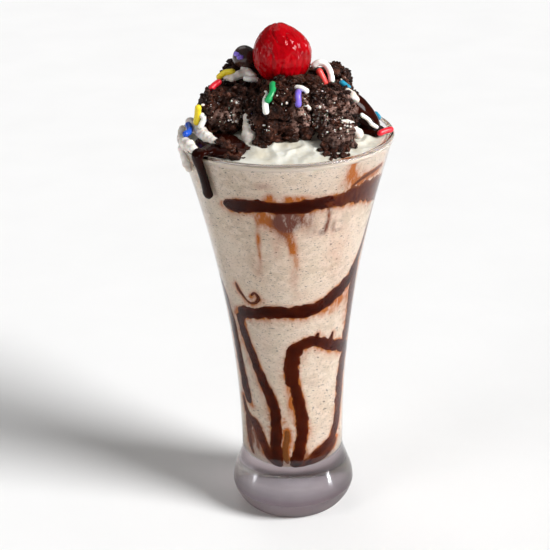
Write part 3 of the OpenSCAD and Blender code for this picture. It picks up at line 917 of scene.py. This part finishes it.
points, faces = ball_form(120, 1.55, 220)
dimple_way = Vector((0.62, -0.10, 0.78)).normalized()
spots = []
for x, y, z in points:
    d = Vector((x, y, z)).normalized()
    r = CHERRY_R + 1.0 * max(0, d.z) ** 5
    broad = abs(noise.noise(Vector((d.x * 2.8, d.y * 2.8, d.z * 0.9))))
    fine = abs(noise.noise(Vector((d.x * 6.5, d.y * 6.5, d.z * 2.4 + 4))))
    r -= 1.6 * max(0, 0.20 - broad) + 0.5 * max(0, 0.20 - fine)
    r += 0.16 * noise.noise(Vector((d.x * 6, d.y * 6, d.z * 5)))
    r -= 0.9 * max(0, d.dot(dimple_way) - 0.80) / 0.2
    spots.append(CHERRY_AT + cherry_turn @ (d * (r - 0.1)))
cherry = piece("cocktail_cherry", spots, faces, [cherry_finish])
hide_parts("cherry")
add_to_heap(cherry, "cherry")

# ---- the chocolate ball ----

# A ball of malted milk in dark chocolate, which sits behind the cherry's left side. Its
# coat is shiny and a little uneven.
ball_finish, ball_shader = new_finish("dark_chocolate_coat",
                                      {"IOR": 1.46, "Coat Weight": 0.4, "Coat Roughness": 0.12})
paint(ball_finish, ball_shader, grain(ball_finish, 3),
      [(0.3, (0.030, 0.010, 0.008)), (0.7, (0.065, 0.026, 0.020))])
roughness_from(ball_finish, ball_shader, grain(ball_finish, 2), 0.2, 0.35)

BALL_R = 4.7
ball_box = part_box("chocolate_ball")
BALL_AT = 1000 * (ball_box[0] + ball_box[1]) / 2
points, faces = ball_form(60, 1.53, 120)
spots = [BALL_AT + Vector(p).normalized() * (BALL_R - 0.15 + 0.15 * lumps(p, 0.6, 3.0)) for p in points]
ball = piece("malt_ball", spots, faces, [ball_finish])
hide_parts("chocolate_ball")
add_to_heap(ball, "ball")

# ---- loose crumbs ----

# Crumbs that fell from the brownie. They lie all over the chunks and on the cream beside
# them, half sunk in the wet surface.
heap = BVHTree.FromPolygons(heap_points, heap_faces)
crumb_random = random.Random(11)
HEAP_MID = Vector((0, 0, 166))


def round_bit(fineness):
    """Points and faces of a small round bit."""
    form = bmesh.new()
    bmesh.ops.create_icosphere(form, subdivisions=fineness, radius=1)
    found = [v.co.copy() for v in form.verts], [[v.index for v in f.verts] for f in form.faces]
    form.free()
    return found


small_bit = round_bit(1)
large_bit = round_bit(2)
chunk_bit = round_bit(4)


def crumb(place, size, seed):
    """One rough crumb, as points and faces."""
    form, faces = small_bit if size < 0.6 else large_bit if size < 1.2 else chunk_bit
    stretch = Vector([crumb_random.uniform(*span) for span in ((0.7, 1.3), (0.7, 1.3), (0.6, 1.0))])
    points = []
    for p in form:
        bulge = 1 + 0.45 * noise.noise(p * 1.4 + Vector((seed, 0, 0)))
        if size > 1.2:
            bulge += 0.30 * (0.5 - noise.voronoi(p * size / 1.3 + Vector((seed, 0, 0)))[0][0])
        points.append(place + p * stretch * size * bulge)
    return points, faces


crumb_points, crumb_faces = [], []


def drop_crumb(place, size, seed):
    some_points, some_faces = crumb(place, size, seed)
    first = len(crumb_points)
    crumb_points.extend(some_points)
    crumb_faces.extend([first + i for i in f] for f in some_faces)


# most fell on the heap itself, from all sides
for n in range(4200):
    a = crumb_random.uniform(0, math.tau)
    up = crumb_random.uniform(0.05, 1.5)
    away = Vector((math.cos(a) * math.cos(up), math.sin(a) * math.cos(up), math.sin(up)))
    start = away * 90 + HEAP_MID
    target = Vector([crumb_random.uniform(*span) for span in ((-24, 24), (-20, 20), (160, 184))])
    hit, normal, index, _ = heap.ray_cast(start, (target - start).normalized())
    if hit is None or normal.z < -0.5 or heap_faces_of[index] != "brownie":
        continue
    if (hit - CHERRY_AT).length < CHERRY_R + 1.2 or (hit - BALL_AT).length < BALL_R + 0.7:
        continue
    size = 0.35 + 0.75 * crumb_random.random() ** 3
    drop_crumb(hit + normal * size * 0.25, size, n * 1.7)

# larger bits packed round the foot of the cherry and along the torn edges, as place and size
larger_bits = [
    ((-6, -8.5, 181.6), 2.3), ((-2, -10.2, 181.4), 2.5), ((3, -10.4, 181.6), 2.3), ((7, -8, 182.4), 2.6),
    ((9.5, -4, 183), 2.4), ((-8.5, -5, 182.4), 2.2), ((0.5, -9, 182.8), 1.7), ((5, -9.4, 183), 1.5),
    ((-4, -9.6, 183.2), 1.3), ((11, -1, 182.4), 2.8), ((13, 3, 184), 2.4), ((19, 1, 184.5), 2.2),
    ((21.5, 4, 183.5), 2.4), ((-26, -8, 174), 2.6), ((-20, -13, 168), 2.8), ((-9, -21, 163.5), 2.4),
    ((-6, -23, 163.8), 2.0), ((17, -23, 165), 2.4), ((22, -23, 164), 2.2), ((14, -21, 168), 2.2),
    ((25.5, -22.8, 162.2), 1.1), ((-10, -22.5, 164.5), 3.0), ((-9, -24.5, 163.2), 2.2),
    ((-4, -21.5, 165), 2.8), ((2, -21, 166), 2.4), ((8, -20, 167), 2.6), ((14.6, -26.5, 164), 2.0),
    ((17.3, -27.4, 163.2), 2.2), ((20.4, -26.5, 163.2), 2.1), ((22.6, -26.4, 162.6), 1.3),
    ((14.6, -30.5, 162), 1.7), ((17.6, -31.4, 161.8), 1.9), ((20.6, -30.4, 161.6), 1.5),
    ((16.2, -33.6, 161.3), 0.9), ((12.4, -28, 163.2), 1.0), ((22.8, -29.6, 161.6), 0.8),
    ((-21.8, -25, 164.6), 2.2), ((-19.4, -26, 163.4), 2.4), ((-16.8, -28, 163), 1.9),
    ((-14.2, -25, 163.4), 1.6), ((-18.2, -31, 161.8), 1.6), ((-21, -29.6, 162.4), 1.4),
    ((-15.4, -31, 161.4), 1.1), ((-24, -22, 165), 2.4), ((-4.6, -10.4, 184), 1.9),
    ((-1.2, -11, 185), 2.0), ((2.1, -11, 184.6), 2.1), ((5.5, -10.6, 185), 2.1),
    ((8.8, -9.6, 184.4), 1.9), ((11.6, -7, 184), 1.8), ((-7.2, -9, 183.6), 1.6),
    ((3.8, -11.6, 186.2), 1.1), ((-3, -11.6, 186), 1.0), ((-14, -10, 176), 2.6), ((-12, -6, 178.5), 3.0),
    ((-18, -4, 178), 2.6), ((10, -12, 179), 2.8), ((12, -8, 181.5), 2.6)]
for n, (place, size) in enumerate(larger_bits):
    drop_crumb(Vector(place), size, 50 + n * 2.3)
crumbs = piece("loose_crumbs", crumb_points, crumb_faces, [brownie_finish])
keep_values(crumbs, "creamy", [0.0] * len(crumb_points))

# ---- smears and specks of cream, the specks also painted glints ----

# Cream that was dragged over the left of the rim while the brownie was piled up, and that stuck to the
# chunks in smears and specks. The pale specks also serve as painted glints on the wet brownie. Each smear
# is a run of balls melted together.
smears = [
    [(-39.4, 0, 163.8, 1.5), (-39.6, -4, 163.8, 1.7), (-39.4, -8, 163.0, 1.6), (-38.6, -12, 162.8, 1.9),
     (-37.4, -15.5, 163, 2.3), (-35.8, -18.6, 163.0, 2.4), (-34.2, -21.4, 162.6, 1.9),
     (-38.8, -14.6, 160.6, 1.8), (-38, -16, 158, 1.7), (-37.2, -16.8, 155.6, 2.0),
     (-36.4, -17, 153.4, 1.5)],
    [(-36.5, 4, 165, 2.2), (-35.6, -2, 165.8, 2.4), (-33.6, -7, 166, 2.5), (-31.2, -12, 165.6, 2.6),
     (-29, -16, 165, 2.4), (-26.5, -19.5, 164.5, 2.0), (-24, -22, 164.2, 1.3)],
    [(-22.5, 5, 182.2, 1.7), (-19.5, 2, 182.6, 1.8), (-17, 3, 183.6, 2.0), (-14, 3.4, 184.4, 2.0),
     (-12, 1.6, 183.2, 1.8), (-15.5, 4.5, 186, 1.2)],
    [(-13.6, -13, 171.5, 2.2), (-13.4, -15.5, 169, 2.8), (-13.2, -17.5, 166, 3.2),
     (-13.0, -19, 163.8, 3.2)],
    [(23.5, -9.5, 179.6, 1.5), (25, -10.4, 178.2, 1.9), (26.6, -10.8, 176.8, 1.4)],
    [(21, -20, 171, 1.2), (22.6, -19.4, 170.6, 1.4), (24.4, -18.4, 169.4, 1.7), (25.6, -18, 167.6, 1.5),
     (27, -17, 165.4, 2.2)],
    [(6, -16, 177.6, 1.0), (7.6, -16.6, 176.8, 1.1), (9, -17, 175.6, 0.9)],
]
cream_and_glint_finish, cream_and_glint_shader = new_finish("melted_cream_and_painted_glints", {
    "Roughness": 0.3, "IOR": 1.4, "Specular IOR Level": 0.4, "Subsurface Weight": 0.2,
    "Subsurface Scale": 0.001})
paint(cream_and_glint_finish, cream_and_glint_shader, grain(cream_and_glint_finish, 3),
      [(0.35, (0.66, 0.58, 0.51)), (0.62, (0.88, 0.85, 0.79))])
for number, balls in enumerate(smears):
    parts = []
    for n, (x, y, z, r) in enumerate(balls):
        middle = Vector((x, y, z))
        form, faces = large_bit
        bulges = [1 + 0.18 * noise.noise(p * 1.3 + Vector((n, number, 0))) for p in form]
        parts.append(([middle + p * r * bulge for p, bulge in zip(form, bulges)], faces))
        if n:
            x0, y0, z0, r0 = balls[n - 1]
            between_them = (middle + Vector((x0, y0, z0))) / 2
            parts.append(([between_them + p * (r + r0) * 0.46 for p in form], faces))
    smear = melted("cream_smear_%d" % (number + 1), parts, 0.4, cream_and_glint_finish, 5)
    add_to_heap(smear, "cream")

# specks, which are also painted glints, as place, reach and how many
heap = BVHTree.FromPolygons(heap_points, heap_faces)
glint_speck_points, glint_speck_faces = [], []
glint_speck_spots = [
    ((-20, -10, 170), 7, 60), ((-28, -6, 176), 6, 16), ((12, -16, 174), 8, 110), ((20, -18, 168), 6, 50),
    ((-2, -14, 177), 9, 24), ((18, -4, 182), 8, 20), ((-14, 4, 180), 8, 40), ((-8, -18, 168), 6, 12)]
view_side = Vector((0, -0.85, 0.5))
for place, reach, count in glint_speck_spots:
    for n in range(count):
        wander = Vector([crumb_random.gauss(0, reach * 0.45) for _ in range(3)])
        away = (view_side + Vector([crumb_random.uniform(-0.6, 0.6) for _ in range(3)])).normalized()
        start = Vector(place) + wander + away * 60
        hit, normal, index, _ = heap.ray_cast(start, -away)
        if hit is None or heap_faces_of[index] != "brownie":
            continue
        size = 0.12 + 0.22 * crumb_random.random() ** 3
        form, faces = small_bit if size < 0.2 else large_bit
        long = Vector([crumb_random.uniform(0.6, 2.4) for _ in range(3)])
        first = len(glint_speck_points)
        glint_speck_points += [hit + normal * size * 0.4 + p * long * size for p in form]
        glint_speck_faces += [[first + i for i in f] for f in faces]
piece("cream_specks_painted_glints", glint_speck_points, glint_speck_faces, [cream_and_glint_finish])

# ---- the sprinkles ----

# Sugar strands, 2 to 2.5 thick and mostly 6 to 9 long, with round ends. They are white,
# yellow, red, coral, green, lilac, blue and teal, and a few have bent as they fell.
sugar_colours = {
    "white": (0.88, 0.87, 0.82), "yellow": (0.80, 0.62, 0.02), "red": (0.70, 0.008, 0.025),
    "coral": (0.78, 0.06, 0.05), "green": (0.008, 0.30, 0.085), "lilac": (0.20, 0.13, 0.60),
    "blue": (0.005, 0.075, 0.50), "teal": (0.01, 0.25, 0.40)}
sugar_finishes = []
for colour_name, colour in sugar_colours.items():
    finish, shader = new_finish("sugar_" + colour_name, {
        "Roughness": 0.3, "IOR": 1.5, "Subsurface Weight": 0.15, "Subsurface Scale": 0.0008,
        "Specular IOR Level": 0.4})
    paler = tuple(min(1, c * 1.12 + 0.01) for c in colour)
    paint(finish, shader, grain(finish, 1.5), [(0.35, colour), (0.65, paler)])
    relief(finish, shader, grain(finish, 0.6), 0.08, 0.5)
    sugar_finishes.append(finish)

# each strand: its colour, half thickness and marks, and whether it lies on what is under it
strands = [
    ("green", 1.25, [(-4.0, -16.5, 184), (-4.6, -19, 182.6), (-5.6, -21, 180.6)], True),
    ("white", 1.2, [(-6.6, -17.5, 181), (-7.2, -20, 178.8), (-7.4, -22.5, 176.4)], True),
    ("lilac", 1.25, [(4.8, -17, 181.6), (4.5, -18.6, 180.2), (4.2, -20, 178.6)], True),
    ("white", 1.1, [(4.6, -14, 183.4), (6.2, -15.2, 182.6), (7.6, -16, 181)], True),
    ("coral", 1.3, [(13.2, -2.6, 185.6), (14.3, -3.2, 183.4), (15.2, -3.6, 181.2)], False),
    ("white", 1.25, [(11.4, -0.5, 187.6), (13.4, -0.6, 188.6), (15.8, -0.8, 187.6), (17.4, -1.6, 184.8),
                     (17.8, -2.4, 181.8)], False),
    ("teal", 1.1, [(23, -4.5, 181.8), (23.4, -5, 180.8), (23.8, -5.6, 179.8)], True),
    ("white", 0.8, [(31.4, -10, 171.4), (32, -10, 168.4), (33.4, -9.6, 166.2), (35.6, -8, 164.8)], True),
    ("teal", 1.0, [(35.2, 9, 165.2), (35.8, 8.4, 164.6), (36.3, 8, 164)], False),
    ("red", 1.15, [(35.6, -9.6, 163.2), (37.6, -8.2, 163.6), (39.8, -6.6, 163.6)], False),
    ("yellow", 1.25, [(-32.2, -12.6, 175.6), (-32.6, -12, 172.6), (-33.2, -11, 169.6)], False),
    ("white", 1.1, [(-31.4, -13.2, 172.6), (-31.8, -13.2, 170.4), (-31.6, -13, 168.6)], True),
    ("blue", 1.25, [(-36.6, -7, 167.4), (-36.0, -9.4, 166.8), (-36.2, -12, 166.2), (-37.2, -14.6, 166.2)],
     False),
    ("white", 1.1, [(-14.8, 0, 183), (-12.6, -0.4, 182.8), (-10.4, 0, 182.4)], True),
    ("yellow", 1.2, [(-24.2, 4.6, 182.6), (-22.2, 4, 183.6), (-20, 3.6, 184.2)], True),
    ("red", 1.2, [(-28, -1.5, 179.6), (-26.4, -0.4, 180.8), (-24.8, 0.6, 181.8)], True),
    ("lilac", 0.9, [(-18.2, 3.6, 191.6), (-17.4, 3, 191.4)], True),
    ("lilac", 0.9, [(-16.8, 2.4, 190.4), (-16, 2.2, 190.6)], True),
    # and these lie on the sides and the back
    ("yellow", 1.2, [(4, 16, 182), (7, 17, 181.6)], True),
    ("red", 1.2, [(-8, 18, 180), (-9, 20.5, 177.5), (-8.4, 22.5, 175)], True),
    ("green", 1.2, [(14, 22, 172), (17, 21, 171)], True),
    ("blue", 1.2, [(-22, 14, 176), (-24, 14, 172.5)], True),
    ("white", 1.2, [(24, 14, 172), (25, 12, 169)], True),
    ("lilac", 1.2, [(-2, 24, 172), (1, 25, 170)], True),
    ("white", 1.2, [(-31, 8, 172), (-33, 6, 168)], True),
    ("coral", 1.2, [(9, 30, 165), (12, 31, 164.6)], True),
]
STRAND_SIDES = 16
rounding = [math.radians(d) for d in (80, 55, 30)]
strand_points, strand_faces, strand_colour = [], [], []
for colour_name, half, marks, lying in strands:
    marks = [Vector(m) for m in marks]
    if lying:
        settled = []
        for mark in marks:
            place, normal, _, _ = heap.find_nearest(mark)
            settled.append(place + normal * half * 0.7)
        marks = settled
    ends = [2 * marks[0] - marks[1]] + marks + [2 * marks[-1] - marks[-2]]
    line = []
    for i in range(1, len(ends) - 2):
        line += [between(*ends[i - 1: i + 3], t) for t in np.arange(6) / 6]
    line.append(marks[-1])
    start_way = (line[0] - line[1]).normalized()
    end_way = (line[-1] - line[-2]).normalized()
    rows = [(line[0] + start_way * half * math.sin(a), half * math.cos(a)) for a in rounding]
    rows += [(p, half) for p in line]
    rows += [(line[-1] + end_way * half * math.sin(a), half * math.cos(a)) for a in rounding[::-1]]
    strand_faces += tube_faces(len(strand_points), len(rows), STRAND_SIDES)
    side = start_way.orthogonal().normalized()
    for i, (place, r) in enumerate(rows):
        ahead = (rows[min(i + 1, len(rows) - 1)][0] - rows[max(i - 1, 0)][0]).normalized()
        side = (side - ahead * side.dot(ahead)).normalized()
        other = ahead.cross(side)
        for k in range(STRAND_SIDES):
            b = math.tau * k / STRAND_SIDES
            strand_points.append(place + (side * math.cos(b) + other * math.sin(b)) * r)
    strand_colour += [list(sugar_colours).index(colour_name)] * (STRAND_SIDES * (len(rows) - 1) + 2)
sprinkles = piece("sugar_strands", strand_points, strand_faces, sugar_finishes)
sprinkles.data.polygons.foreach_set("material_index", strand_colour)

low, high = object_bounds()
